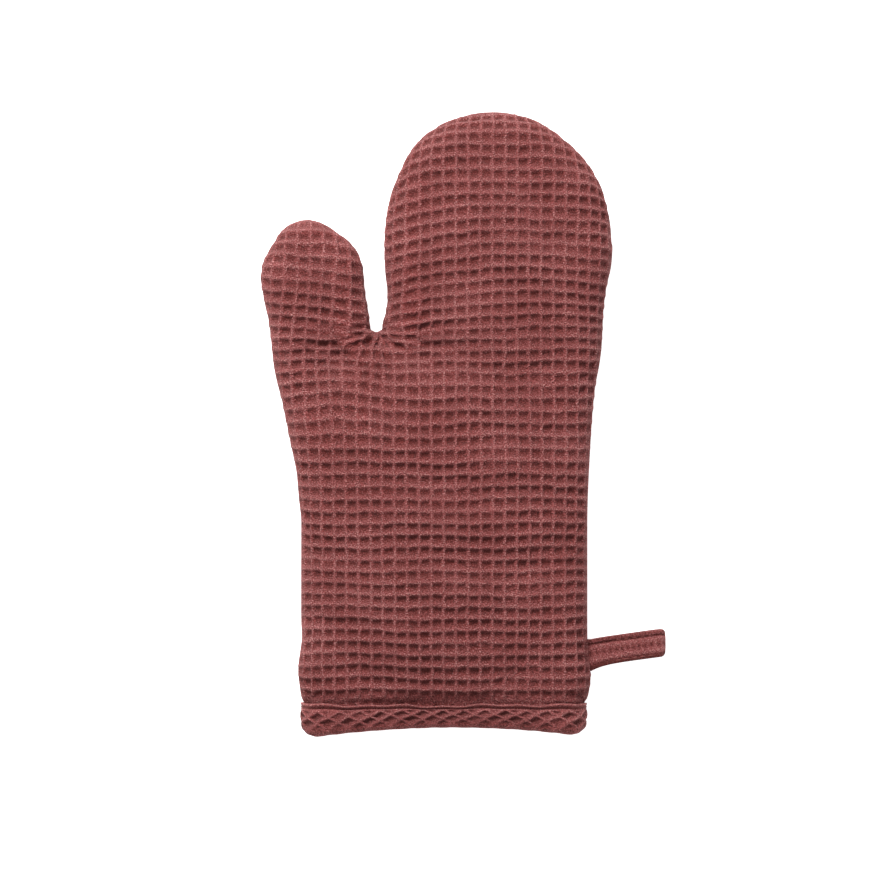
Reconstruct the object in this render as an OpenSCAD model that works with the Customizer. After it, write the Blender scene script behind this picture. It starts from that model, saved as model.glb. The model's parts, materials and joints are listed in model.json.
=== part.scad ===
// Oven mitt of honeycomb (waffle) cotton: two quilted faces sewn round the edge, a bound cuff and
// a side loop to hang it by. It lies on its back face: +Z is up out of the front face, +Y runs from
// the cuff to the fingertips, and the thumb is on the -X side. Millimetres.

/* [Hand] */
// Cuff edge to the fork between thumb and fingers
palm_length = 207; // [172:1:250]
// Fork to the fingertips
finger_length = 113; // [92:1:137]
// Width of the mitt above the cuff binding
cuff_width = 146; // [120:1:176]
// Width across the fingers
finger_width = 117; // [96:1:141]
// How far the middle of the fingers lies to the right of the middle of the cuff
finger_offset = 27.5; // [20:0.5:34]
// Length of the rounded fingertip end
finger_dome = 68; // [50:1:82]

/* [Thumb] */
// Fork to the tip of the thumb
thumb_length = 58; // [48:1:70]
// Width across the thumb
thumb_width = 52; // [43:1:63]
// Gap between thumb and fingers
thumb_gap = 11; // [9:0.5:14]
// Length of the rounded thumb end
thumb_dome = 29; // [24:1:35]

/* [Thickness] */
// Height of the side seam above the table
seam_height = 12; // [11:0.5:15]
// Rise of the front face above the side seam, at the palm
palm_crown = 20; // [17:0.5:24]
// Rise of the front face above the side seam, at the cuff
cuff_crown = 16; // [14:0.5:20]
// Rise of the thumb above the side seam
thumb_crown = 17; // [15:0.5:21]

/* [Cloth] */
// Waffle cloth, over its ridges
shell_t = 2; // [1.6:0.1:2.6]
// Polyester wadding
wadding_t = 4; // [3.3:0.1:4.8]
// Plain cotton lining
lining_t = 0.6; // [0.5:0.05:0.8]
// Air left between two plies
ply_gap = 0.15; // [0.1:0.05:0.3]

/* [Cuff binding] */
// Height of the binding on each face
binding_height = 17; // [14:0.5:20]
// Thickness of the bias-cut binding cloth
binding_t = 1.6; // [1.3:0.1:2]
// How far the middle of the cuff edge is set back from its corners
cuff_dip = 4.5; // [3:0.5:6]
// Radius of the two cuff corners
corner_r = 8; // [5:0.5:10]

/* [Hanging loop] */
// Length of the loop outside the seam
loop_length = 41.5; // [34:0.5:50]
// Width of the folded strip
loop_width = 14; // [11:0.5:17]
// Thickness of the folded strip
loop_t = 2; // [1.6:0.1:2.4]
// Inside radius of the fold that a hook passes through
loop_eye_r = 3.5; // [2.9:0.1:4.2]
// Cuff edge to the middle of the loop
loop_from_cuff = 43; // [36:1:52]
// Length of the strip caught inside the side seam
loop_tail = 6; // [5:0.5:7]
// Angle of the loop to the cuff, in degrees
loop_tilt = 7; // [0:1:12]

/* [Stitching] */
// Sewing thread
thread_d = 0.7; // [0.6:0.1:0.9]
// Length of one stitch
stitch_length = 3; // [2.4:0.2:3.6]
// Gap between two stitches
stitch_gap = 1.2; // [1:0.1:1.5]
// Topstitching to the binding's free edge
binding_stitch_inset = 2; // [1.6:0.1:2.5]
// Topstitching to the edge of the loop's strip
loop_stitch_inset = 2; // [1.6:0.1:2.4]

/* [Hidden] */

// Landmarks along the mitt, measured from the cuff edge
mitt_length = palm_length + finger_length;
finger_dome_y = mitt_length - finger_dome;
thumb_tip_y = palm_length + thumb_length;
thumb_dome_y = thumb_tip_y - thumb_dome;
wrist_y = 0.53 * palm_length;
thumb_root_y = wrist_y - 8;
thumb_root_dome = 30;
thumb_full_y = thumb_root_y + thumb_root_dome;

// Landmarks across the mitt, measured from the middle of the cuff
finger_left = finger_offset - finger_width / 2;
finger_right = finger_offset + finger_width / 2;
thumb_right = finger_left - thumb_gap;
thumb_left = thumb_right - thumb_width;

// The plies, as depths below the outer surface
wadding_in = shell_t + ply_gap;
lining_in = wadding_in + wadding_t + ply_gap;
wall_t = lining_in + lining_t;

// Shape of a section: 2 is an ellipse, and a larger power is squarer
edge_power = 2.6;
// The back face is this much deeper than the table allows, so that it lies flat
press_flat = 2;
// The wadding of the bound edge is squeezed to this share of its thickness
squeeze = 0.65;
// Length over which the mitt swells out again above the binding
swell = 16;
palm_ease = 1.6;
thumb_ease = 1.1;
// Below the fork the thumb's inner side spreads this far into the hand, over this length
thumb_spread = 46;
thumb_blend = 63;
fork_y = palm_length + 8;
// How far the thumb's inner side leans away from the fingers above the fork
thumb_lean = 6;
hand_ring = 32;
thumb_ring = 24;
far = 400;

// Row frame: the middle of the whole object's outline, on the table
loop_knuckle_r = loop_t + 0.3;
seam_clearance = 0.35;
loop_root_x = side_x(loop_from_cuff, 0) + seam_clearance + loop_knuckle_r;
loop_end_r = loop_eye_r + loop_t;
loop_reach = loop_length - loop_knuckle_r - loop_end_r;
loop_droop = asin((seam_height - loop_end_r) / loop_reach);
// The legs spread by this angle from the root to the fold
loop_lean = asin((loop_end_r - loop_knuckle_r) / loop_reach);
loop_tail_x = -loop_knuckle_r - seam_clearance - loop_tail;
loop_flat_reach = loop_reach * cos(loop_droop) + loop_end_r;
loop_end_x = loop_root_x + loop_flat_reach;
frame_x = -(thumb_left + loop_end_x) / 2;
frame_y = -mitt_length / 2;

function smooth(t) = let (u = min(max(t, 0), 1)) u * u * (3 - 2 * u);
function eased(t, p) = pow(min(max(t, 0), 1), p);
function signed_power(v) = sign(v) * pow(abs(v), 2 / edge_power);
// 1 in the bound edge, falling to 0 above it
function bound(y) = 1 - smooth((y - binding_height) / swell);
// Depth of a ply below the outer surface, squeezed in the bound edge
function depth(inset, y) = inset > 0 ? inset * (1 - (1 - squeeze) * bound(y)) : inset;
function corner(y) = y >= corner_r ? 0 : corner_r - sqrt(pow(corner_r, 2) - pow(corner_r - max(y, 0), 2));
function cuff_half(y) = cuff_width / 2 - binding_t * bound(y) - corner(y);

// The two sides of the hand, without the thumb, at a depth below the outer surface
function side_x(y, inset) = cuff_half(y) - depth(inset, y)
    + (finger_right - cuff_width / 2) * eased((y - wrist_y) / (finger_dome_y - wrist_y), palm_ease);
function inner_x(y, inset) = -cuff_half(y) + depth(inset, y)
    + (finger_left + cuff_width / 2) * smooth((y - wrist_y) / (palm_length - wrist_y));
// The two sides of the thumb
function thumb_outer_x(y, inset) = 1.5 - cuff_width / 2 + inset
    + (thumb_left + cuff_width / 2 - 1.5) * eased((y - wrist_y) / (thumb_dome_y - wrist_y), thumb_ease);
function thumb_inner_x(y, inset) = thumb_right - inset
    + thumb_lean * smooth((thumb_dome_y - y) / (thumb_dome_y - palm_length))
    + thumb_spread * smooth((fork_y - y) / thumb_blend);

// Height of the front face over the side seam, along the hand and along the thumb
function hand_crown(y) = cuff_crown + (palm_crown - cuff_crown) * smooth(y / wrist_y)
    - 2 * smooth((y - wrist_y) / (finger_dome_y - wrist_y));
function thumb_rise(y) = thumb_crown * (0.6 + 0.4 * smooth((y - thumb_root_y) / (palm_length - thumb_root_y)));

// One closed ring of a section: [x, z] points round the seam plane
function section(left, right, top, bottom, floor_z, n) = [for (i = [0:n - 1])
    let (c = cos(360 * i / n), s = sin(360 * i / n))
    [(left + right) / 2 + (right - left) / 2 * signed_power(c),
     s > 0 ? seam_height + top * signed_power(s)
           : max(seam_height + bottom * signed_power(s), min(floor_z, seam_height))]];

function floor_at(y, inset) = binding_t * bound(y) + depth(inset, y);
function steps(a, b, n) = [for (k = [0:n]) a + (b - a) * k / n];
function dome_height(a) = pow(1 - pow(sin(a), edge_power), 1 / edge_power);

// The rows of the hand, cuff to fingertips: [y, [ring]]
palm_rows = [0, 0.05, 0.15, 0.35, 0.65, 1];
hand_steps = 12;
dome_angles = [12, 24, 36, 47, 57, 66, 74, 81, 87];
function hand_row(y, inset) = [y, section(inner_x(y, inset), side_x(y, inset),
    hand_crown(y) - depth(inset, y), seam_height + press_flat - depth(inset, y), floor_at(y, inset),
    hand_ring)];
function hand_dome_row(a, inset) = let (half = (finger_width / 2 - inset) * cos(a))
    [finger_dome_y + (finger_dome - inset) * sin(a), section(finger_offset - half, finger_offset + half,
        (hand_crown(finger_dome_y) - inset) * dome_height(a),
        (seam_height + press_flat - inset) * dome_height(a), inset, hand_ring)];
function hand_rows(inset, open) = let (swell_y = binding_height + swell) concat(
    open ? [[-20, hand_row(0, inset)[1]]] : [],
    [for (k = palm_rows) hand_row(k * binding_height, inset)],
    [for (k = [1:3]) hand_row(binding_height + swell * k / 3, inset)],
    [for (k = [1:hand_steps]) hand_row(swell_y + (finger_dome_y - swell_y) * k / hand_steps, inset)],
    [for (a = dome_angles) hand_dome_row(a, inset)]);

// The rows of the thumb: a rounded root inside the palm, the thumb itself and its rounded tip
thumb_steps = 8;
root_angles = [80, 62, 42, 21];
tip_angles = [18, 36, 52, 65, 76, 85];
function thumb_section(left, right, top, inset, a) =
    let (middle = (left + right) / 2, half = (right - left) / 2 * cos(a))
    section(middle - half, middle + half, top * dome_height(a),
        (seam_height + press_flat - inset) * dome_height(a), inset, thumb_ring);
function thumb_row(y, inset, a = 0) =
    thumb_section(thumb_outer_x(y, inset), thumb_inner_x(y, inset), thumb_rise(y) - inset, inset, a);
function thumb_rows(inset) = concat(
    [for (a = root_angles) [thumb_full_y - (thumb_root_dome - inset) * sin(a), thumb_row(thumb_full_y, inset, a)]],
    [for (y = steps(thumb_full_y, thumb_dome_y, thumb_steps)) [y, thumb_row(y, inset)]],
    [for (a = tip_angles) [thumb_dome_y + (thumb_dome - inset) * sin(a),
        thumb_section(thumb_left + inset, thumb_right - inset, thumb_crown - inset, inset, a)]]);

// Closed solid through a list of rows, each [y, ring]: one convex slab from each row to the next
module loft(rows) {
    n = len(rows[0][1]);
    for (k = [0:len(rows) - 2]) hull() polyhedron(
        points = [for (r = [rows[k], rows[k + 1]]) for (p = r[1]) [p[0], r[0], p[1]]],
        faces = concat(
            [[for (i = [0:n - 1]) i]],
            [[for (i = [n - 1:-1:0]) n + i]],
            [for (i = [0:n - 1]) let (j = (i + 1) % n) [i, n + j, j]],
            [for (i = [0:n - 1]) let (j = (i + 1) % n) [i, n + i, n + j]]));
}

// The whole mitt as one solid, at a depth below its outer surface; open runs it out past the cuff
module mitt_body(inset, open = false) {
    loft(hand_rows(inset, open));
    loft(thumb_rows(inset));
}

// What lies beyond the cuff edge, which curves in by cuff_dip at its middle
cuff_arc_half = cuff_width / 2 - corner_r;
cuff_arc_r = (pow(cuff_arc_half, 2) + pow(cuff_dip, 2)) / (2 * cuff_dip);
module beyond_cuff(back) {
    translate([0, cuff_dip + back - cuff_arc_r, -1]) cylinder(r = cuff_arc_r, h = 80, $fn = 360);
    translate([-far / 2, back - 60, -1]) cube([far, 60, 80]);
}

module upper_half() translate([-far / 2, -20, seam_height]) cube([far, far + 20, 60]);
module lower_half() translate([-far / 2, -20, seam_height - 60]) cube([far, far + 20, 60]);

// The wall from one depth to another, cut back at the cuff for the binding
module wall(from, to) difference() {
    mitt_body(from);
    mitt_body(to, open = true);
    beyond_cuff(binding_t);
}
// One ply of it, with room left for the loop's sewn ends
module ply(from, to) difference() {
    wall(from, to);
    loop_pocket();
}

module at_loop() translate([loop_root_x, loop_from_cuff, seam_height]) children();
// Room for the loop's sewn ends, between the two faces and open at the seam
module loop_pocket() at_loop()
    translate([loop_tail_x - ply_gap, -loop_width / 2 - ply_gap, -loop_t - ply_gap])
        cube([2 * loop_tail, loop_width + 2 * ply_gap, 2 * (loop_t + ply_gap)]);

module front_shell() color("#8b4f4e") intersection() { ply(0, shell_t); upper_half(); }
module back_shell() color("#8b4f4e") intersection() { ply(0, shell_t); lower_half(); }
module front_wadding() color("#efece4")
    intersection() { ply(wadding_in, wadding_in + wadding_t); upper_half(); }
module back_wadding() color("#efece4")
    intersection() { ply(wadding_in, wadding_in + wadding_t); lower_half(); }
module front_lining() color("#a86a66") intersection() { ply(lining_in, wall_t); upper_half(); }
module back_lining() color("#a86a66") intersection() { ply(lining_in, wall_t); lower_half(); }

// Bias-cut strip folded over the raw edges of all the plies
module cuff_binding() color("#804544") difference() {
    intersection() {
        loft(hand_rows(-binding_t, false));
        translate([-far / 2, -1, -1]) cube([far, binding_height + 1, 60]);
    }
    mitt_body(wall_t + binding_t / squeeze, open = true);
    beyond_cuff(0);
    difference() {
        mitt_body(-ply_gap);
        mitt_body(wall_t + ply_gap, open = true);
        beyond_cuff(binding_t - ply_gap);
    }
}

// The loop runs out along X from its root, hangs down to the table and slants towards the fingers
root_steps = 8;
fold_steps = 16;
function arc(middle, r, from, to, n) = [for (a = steps(from, to, n)) [middle + r * cos(a), r * sin(a)]];
function strip_side(root_r, end_r) = concat(
    arc(0, root_r, 90 + loop_lean, 270 - loop_lean, root_steps),
    arc(loop_reach, end_r, -90 - loop_lean, 90 + loop_lean, fold_steps));
module loop_place() at_loop() rotate([0, loop_droop, 0]) children();
module hanging_loop() color("#7d4342") loop_place() {
    outside = strip_side(loop_knuckle_r, loop_end_r);
    inside = strip_side(loop_knuckle_r - loop_t, loop_eye_r);
    n = len(outside);
    polyhedron(
        points = [for (side = [outside, inside], y = [-loop_width / 2, loop_width / 2], p = side)
            [p[0], y + p[0] * tan(loop_tilt), p[1]]],
        faces = [for (i = [0:n - 1], f = [0:3]) let (j = (i + 1) % n)
            f == 0 ? [i, j, n + j, n + i]
            : f == 1 ? [2 * n + i, 3 * n + i, 3 * n + j, 2 * n + j]
            : f == 2 ? [i, 2 * n + i, 2 * n + j, j]
            : [n + i, n + j, 3 * n + j, 3 * n + i]]);
}
module loop_sewn_ends() color("#7d4342") at_loop()
    translate([loop_tail_x, -loop_width / 2, -loop_t]) cube([loop_tail, loop_width, 2 * loop_t]);

// The seam runs round the outline between the two faces, so its thread is a strip of the wall there
module at_seam() intersection() {
    children();
    translate([-far / 2, -20, seam_height - thread_d / 2]) cube([far, far + 20, thread_d]);
}
module shell_seam_thread() color("#6f3837")
    at_seam() wall((shell_t - thread_d) / 2, (shell_t + thread_d) / 2);
module lining_seam_thread() color("#8d5552") at_seam() ply(lining_in, wall_t);

// A straight stitch from one point to another
module stitch(from, to) {
    d = to - from;
    turn = atan2(d[1], d[0]);
    tip = acos(d[2] / norm(d));
    translate(from) rotate([0, tip, turn]) cylinder(d = thread_d, h = norm(d), $fn = 24);
}

// Topstitching round the binding: the section there, measured along its length
binding_stitch_y = binding_height - binding_stitch_inset;
stitch_ring = section(inner_x(binding_stitch_y, -binding_t), side_x(binding_stitch_y, -binding_t),
    hand_crown(binding_stitch_y) + binding_t, seam_height + press_flat + binding_t,
    floor_at(binding_stitch_y, -binding_t) + thread_d / 2, 160);
ring_points = concat(stitch_ring, [stitch_ring[0]]);
function lengths(p, i = 1, sum = 0, out = [0]) = i == len(p) ? out
    : let (s = sum + norm(p[i] - p[i - 1])) lengths(p, i + 1, s, concat(out, [s]));
ring_lengths = lengths(ring_points);
ring_length = ring_lengths[len(ring_lengths) - 1];
x_at = [for (i = [0:len(ring_points) - 1]) [ring_lengths[i], ring_points[i][0]]];
z_at = [for (i = [0:len(ring_points) - 1]) [ring_lengths[i], ring_points[i][1]]];
function on_ring(s) = [lookup(s, x_at), binding_stitch_y, lookup(s, z_at)];
module binding_stitching() color("#6f3837") {
    count = floor(ring_length / (stitch_length + stitch_gap));
    pitch = ring_length / count;
    for (k = [0:count - 1]) stitch(on_ring(k * pitch), on_ring(k * pitch + pitch - stitch_gap));
}

// Topstitching along both edges of the loop, on its two legs, where they swing clear of the seam
first_stitch_x = loop_knuckle_r + loop_t;
function on_leg(x, y, side) =
    [x, y + x * tan(loop_tilt), side * (loop_knuckle_r / cos(loop_lean) + x * tan(loop_lean))];
module loop_stitching() color("#6f3837") loop_place() {
    pitch = stitch_length + stitch_gap;
    count = floor((loop_reach - first_stitch_x) / pitch);
    for (side = [-1, 1], edge = [-1, 1], k = [0:count - 1]) {
        x = first_stitch_x + k * pitch;
        y = edge * (loop_width / 2 - loop_stitch_inset);
        stitch(on_leg(x, y, side), on_leg(x + stitch_length, y, side));
    }
}

module placed() translate([frame_x, frame_y, 0]) children();
placed() front_shell();
placed() back_shell();
placed() front_wadding();
placed() back_wadding();
placed() front_lining();
placed() back_lining();
placed() cuff_binding();
placed() hanging_loop();
placed() loop_sewn_ends();
placed() shell_seam_thread();
placed() lining_seam_thread();
placed() binding_stitching();
placed() loop_stitching();
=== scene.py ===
# %% [markdown]
# # An oven mitt in honeycomb cotton
# The mitt is two padded faces of waffle cloth, sewn round the edge and turned right side out. A strip cut
# on the bias wraps the raw edges of the cuff, and a folded strip is caught in the side seam to hang it by.
# Each cloth here is a surface worked out with numpy: two numbers say where a point is in the cloth, and a
# function says where the cloth lies. Lengths are in millimetres until a mesh is made, because a maker
# thinks in them, and the frame's solids say how big every piece is.

# %% The frame and the mitt's own measurements
import json
import math

import bmesh
import bpy
import numpy as np
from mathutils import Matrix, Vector


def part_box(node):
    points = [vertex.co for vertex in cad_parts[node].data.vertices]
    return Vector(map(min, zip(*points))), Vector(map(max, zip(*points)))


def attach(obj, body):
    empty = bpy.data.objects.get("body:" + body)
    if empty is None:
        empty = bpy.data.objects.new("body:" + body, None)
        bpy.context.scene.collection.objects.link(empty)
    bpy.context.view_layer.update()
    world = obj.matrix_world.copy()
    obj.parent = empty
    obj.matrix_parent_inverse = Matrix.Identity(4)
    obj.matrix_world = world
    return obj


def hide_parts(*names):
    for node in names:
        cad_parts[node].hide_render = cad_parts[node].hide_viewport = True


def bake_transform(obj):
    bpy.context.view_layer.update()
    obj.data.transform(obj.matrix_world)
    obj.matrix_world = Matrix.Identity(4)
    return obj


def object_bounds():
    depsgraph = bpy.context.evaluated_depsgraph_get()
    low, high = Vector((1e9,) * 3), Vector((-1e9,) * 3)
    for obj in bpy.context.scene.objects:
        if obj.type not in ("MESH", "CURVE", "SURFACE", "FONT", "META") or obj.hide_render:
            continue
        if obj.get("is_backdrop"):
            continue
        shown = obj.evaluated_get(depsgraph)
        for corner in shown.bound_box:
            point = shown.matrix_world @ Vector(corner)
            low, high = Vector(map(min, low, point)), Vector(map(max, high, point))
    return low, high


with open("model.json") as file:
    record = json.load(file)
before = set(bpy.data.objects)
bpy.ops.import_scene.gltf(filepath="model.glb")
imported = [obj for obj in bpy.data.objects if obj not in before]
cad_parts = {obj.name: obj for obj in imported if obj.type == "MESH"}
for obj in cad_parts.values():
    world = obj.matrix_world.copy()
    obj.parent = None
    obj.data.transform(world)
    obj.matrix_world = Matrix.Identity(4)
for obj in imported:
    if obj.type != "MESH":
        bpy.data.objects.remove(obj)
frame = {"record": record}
frame_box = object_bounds()

cuff_low, cuff_high = (np.array(c) * 1000 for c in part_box("cuff_binding"))
face_low, face_high = (np.array(c) * 1000 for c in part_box("front_shell"))
loop_high = np.array(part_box("hanging_loop")[1]) * 1000
cuff_middle = np.array([(cuff_low[0] + cuff_high[0]) / 2, cuff_low[1], 0.0])
cuff_half = (cuff_high[0] - cuff_low[0]) / 2
seam_z = face_low[2]
finger_right, finger_top = face_high[0] - cuff_middle[0], face_high[1] - cuff_middle[1]
thumb_left = face_low[0] - cuff_middle[0]
print(f"cuff half {cuff_half:.1f}, fingers to x {finger_right:.1f} and y {finger_top:.1f} mm")
print(f"seam at z {seam_z:.1f} mm")

# %% [markdown]
# ## The seam line
# Seen from above, the seam is one long curve: up the right side, round the fingertips, down into the fork,
# round the thumb and down the left side. It could be drawn as a Bezier curve, but short formulas for each
# stretch keep the sizes readable. The stretches are joined, spaced evenly and smoothed a little, as a sewn
# line is.

# %% Draw the seam line
finger_width, finger_dome = 117.0, 68.0
thumb_width, thumb_dome, thumb_top = 53.4, 29.0, 265.0
fork_y, fork_half, fork_x = 207.2, 2.7, -34.6
fork_depth = 3.0
wrist_y = 110.0
below_cuff = 40.0
binding_t, binding_height = 1.6, 17.0
seam_step = 0.8
finger_dome_y, thumb_dome_y = finger_top - finger_dome, thumb_top - thumb_dome
finger_mid = finger_right - finger_width / 2
thumb_mid = thumb_left + thumb_width / 2


def smooth(t):
    """Eases from 0 to 1 as t goes from 0 to 1, with level ends."""
    t = np.clip(t, 0, 1)
    return t * t * (3 - 2 * t)


def hump(x, middle, width):
    """A bell curve: 1 at the middle, fading over the width on each side."""
    return np.exp(-(((x - middle) / width) ** 2))


def stretch(x, y):
    """Points from their x and y, either of which may be one number for them all."""
    return np.stack(np.broadcast_arrays(x, y), axis=-1).astype(float)


def rounded(turn, power):
    """Cosine and sine of a superellipse: a power over 2 gives fuller shoulders, one under 2 gives sloping
    ones."""
    c, s = np.cos(turn), np.sin(turn)
    return np.sign(c) * np.abs(c) ** (2 / power), np.sign(s) * np.abs(s) ** (2 / power)


def seam_stretches():
    """The seam's stretches in order: each gives x for a run of y, or a superellipse for a rounded end. The
    body is drawn in under the binding and swells out just above it, and the fork is half of a small
    ellipse. The small humps are the sewn line's own unevenness."""
    up, turn = np.linspace(0, 1, 200), np.linspace(0, math.pi, 200)
    y = (finger_dome_y + below_cuff) * up - below_cuff
    widened = np.clip((y - wrist_y) / (finger_dome_y - wrist_y), 0, 1) ** 1.6
    right = cuff_half + 0.2 + 0.5 * above_binding(y) + (finger_right - cuff_half) * widened
    right += 2.0 * hump(y, 31, 9) + 1.2 * hump(y, 198, 15) + 0.8 * hump(y, 241, 8)
    yield stretch(right - under_binding(y), y)
    across, along = rounded(turn, 2.1)
    x = finger_mid + finger_width / 2 * across - 2.9 * hump(along, 0.86, 0.24)
    yield stretch(x, finger_dome_y + finger_dome * along)
    y = np.linspace(finger_dome_y, fork_y + fork_depth, 60)
    yield stretch(finger_mid - finger_width / 2 + 1.6 * hump(y, 226, 12) - 1.5 * hump(y, 209, 6), y)
    yield stretch(fork_x + fork_half * np.cos(turn), fork_y + fork_depth * (1 - np.sin(turn)))
    y = np.linspace(fork_y + fork_depth, thumb_dome_y, 60)
    yield stretch(thumb_left + thumb_width + 3.2 * smooth((thumb_dome_y - y) / 27), y)
    across, along = rounded(turn, 1.9)
    outer_shoulder = 1.6 * hump(along, 0.55, 0.26) - 0.3 * hump(along, 0.24, 0.1)
    shoulder = np.where(across < 0, outer_shoulder, -2.5 * hump(along, 0.84, 0.22))
    x = thumb_mid + thumb_width / 2 * across - 1.9 * along**2 + shoulder
    yield stretch(x, thumb_dome_y + thumb_dome * along)
    y = thumb_dome_y - (thumb_dome_y + below_cuff) * up
    widened = np.clip((y - wrist_y - 2) / (thumb_dome_y - wrist_y - 2), 0, 1) ** 1.08
    left = cuff_half + 0.3 * above_binding(y) - (thumb_left + cuff_half) * widened
    left += 1.7 * hump(y, 34, 9) - 0.5 * hump(y, 51, 5) - 1.1 * hump(y, 136, 11)
    left += 1.4 * hump(y, 188, 17) + 0.6 * hump(y, 228, 7)
    yield stretch(under_binding(y) - left, y)


def above_binding(y):
    """0 under the bound edge and 1 once clear of it."""
    return smooth((y - binding_height + 1) / 8)


def under_binding(y):
    """How far the plies are squeezed in under the bound edge."""
    return (binding_t + 0.2) * (1 - smooth((y - binding_height + 1.5) / 4))


def evenly(line, step):
    """The line again with its points a step apart along it."""
    keep = np.r_[True, np.linalg.norm(np.diff(line, axis=0), axis=1) > 1e-6]
    line = line[keep]
    along = np.r_[0, np.cumsum(np.linalg.norm(np.diff(line, axis=0), axis=1))]
    at = np.linspace(0, along[-1], int(along[-1] / step) + 1)
    return np.stack([np.interp(at, along, line[:, k]) for k in range(line.shape[1])], axis=1)


def soften(line, passes):
    """Each point moves to the mean of itself and its neighbours, which rounds off corners."""
    for _ in range(passes):
        line = np.r_[line[:1], (line[:-2] + 2 * line[1:-1] + line[2:]) / 4, line[-1:]]
    return line


def inward(line):
    """Unit normals that point into the mitt, which lies to the left of the line's direction."""
    along = np.gradient(line, axis=0)
    along /= np.linalg.norm(along, axis=1, keepdims=True)
    return np.stack([-along[:, 1], along[:, 0]], axis=1)


seam_line = soften(evenly(np.concatenate(list(seam_stretches())), seam_step), 6)
seam_in = inward(seam_line)
print(f"seam line: {len(seam_line)} points, {seam_step * len(seam_line):.0f} mm")
print(f"box {seam_line.min(0).round(1)} to {seam_line.max(0).round(1)} mm")

# %% [markdown]
# ## From flat cloth to a padded face
# The cloth runs over the rim down to the seam, so it's longer than it looks from above. The flat cloth
# therefore reaches past the seam line by `over`, which shrinks in the fork, where there is no room for it.
# A point of the flat cloth near its edge goes onto a rounded rim: how far it is from the cloth's edge says
# how far round the rim it lies. A point further in stays where it is. So the weave is never stretched, and
# it tightens towards the outline as it does on real padding.

# %% Find where a point of the flat cloth lies
rim_width, rim_power = 17.0, 2.3
least_over, most_over = 0.9, 10.0
fork_near, fork_far = 40.0, 95.0
from_fork = np.linalg.norm(seam_line - [fork_x, fork_y], axis=1)
over = least_over + 0.075 * from_fork
catching_up = smooth((from_fork - fork_near) / (fork_far - fork_near))
over += (most_over - least_over - 0.075 * fork_far) * catching_up
over = np.minimum(over, most_over)
cloth_line = seam_line - over[:, None] * seam_in


def from_edge(p):
    """For flat points: the distance from the cloth's edge, and the place along the seam that is nearest, as
    a fractional index. The nearest point of the line comes first, then the seam's own normal gives both.
    The cloth's edge runs back on itself in tight hollows, so its own normals would flip there."""
    squared = (cloth_line**2).sum(1)
    parts = np.array_split(p, max(1, len(p) // 4000))
    nearest = np.concatenate([np.argmin(squared - 2 * part @ cloth_line.T, axis=1) for part in parts])
    gap = p - cloth_line[nearest]
    inner = seam_in[nearest]
    sideways = gap[:, 0] * inner[:, 1] - gap[:, 1] * inner[:, 0]
    spacing = np.linalg.norm(np.gradient(cloth_line, axis=0), axis=1)[nearest]
    at = nearest + np.clip(sideways / spacing, -0.5, 0.5)
    return (gap * inner).sum(1), np.clip(at, 0, len(seam_line) - 1)


def along_seam(values, at):
    """Reads a column of values, or several, at fractional indices along the seam."""
    values = values.reshape(len(values), -1)
    index = np.arange(len(values))
    return np.stack([np.interp(at, index, column) for column in values.T], axis=1)


def rim_curve(power):
    """Quarter of a superellipse, as distance in from the seam and share of the height, against the share of
    its length. A larger power makes a squarer rim."""
    turn = np.linspace(0, math.pi / 2, 400)
    across, up = 1 - np.cos(turn) ** (2 / power), np.sin(turn) ** (2 / power)
    length = np.r_[0, np.cumsum(np.hypot(np.diff(across), np.diff(up)))]
    return length / length[-1], across, up


cuff_rise, thumb_rise, puff = 15.6, 14.8, 3.4


def plateau(p):
    """Height of the front face over the seam, away from the rim: lowest at the bound cuff and on the
    thumb."""
    x, y = p[:, 0], p[:, 1]
    palm = cuff_rise + 1.0 * smooth((y - 12) / 50) - 1.6 * smooth((y - 200) / 80)
    on_thumb = smooth((-24 - x) / 26) * smooth((y - 150) / 45)
    return palm + (thumb_rise - palm) * on_thumb


def lay(p, t, at, face):
    """Where flat points lie in space, in millimetres from the cuff's middle, given their distances t from
    the cloth's edge and their places at along the seam. face is 1 for the front and -1 for the back. Over
    the rim's width the distance is read along the rim's curve, and past it the cloth is level with a slow
    swell."""
    reach = along_seam(over, at)[:, 0]
    wide = reach + rim_width
    share, across, up = rim_curve(rim_power)
    s = np.clip(t / wide, 0, 1)
    d, lift = rim_width * np.interp(s, share, across), np.interp(s, share, up)
    inner, seam = along_seam(seam_in, at), along_seam(seam_line, at)
    move = np.where(t < wide, d - (t - reach), 0)
    plan = np.where((t <= 0)[:, None], seam, p + inner * move[:, None])
    plan += inner * (0.9 * np.exp(-((s * wide / 1.7) ** 2)))[:, None]
    past_rim = np.clip(t - wide, 0, None)
    bulge = puff * (1 - np.exp(-((past_rim / 27) ** 2))) * smooth((plan[:, 1] - binding_height) / 45)
    sink = binding_t * (1 - smooth((plan[:, 1] - binding_height + 2) / 12))
    height = (plateau(plan) - sink) * lift + bulge if face > 0 else -(seam_z - sink) * lift
    return np.c_[plan, seam_z + height]


print(f"cloth reaches past the seam by {over.min():.1f} to {over.max():.1f} mm")

# %% [markdown]
# ## The weave's own grid
# A honeycomb weave only looks crisp if the mesh follows its threads, so the grid's lines are the weave's
# rows and columns, eight to a cell. The cloth isn't square to the mitt all over: it's drawn in towards the
# fork, so rows on both sides dip towards it, and they arch over the fingers. `drawn` says how far the
# threads at a point are from their straight places. The grid needs the opposite, the point where two given
# threads cross, so a few rounds of correction turn it round.

# %% Lay out the weave
cell, per_cell = 6.2, 8
step = cell / per_cell
cells_left, cells_right, cells_down, cells_up = 18, 17, 2, 55


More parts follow.
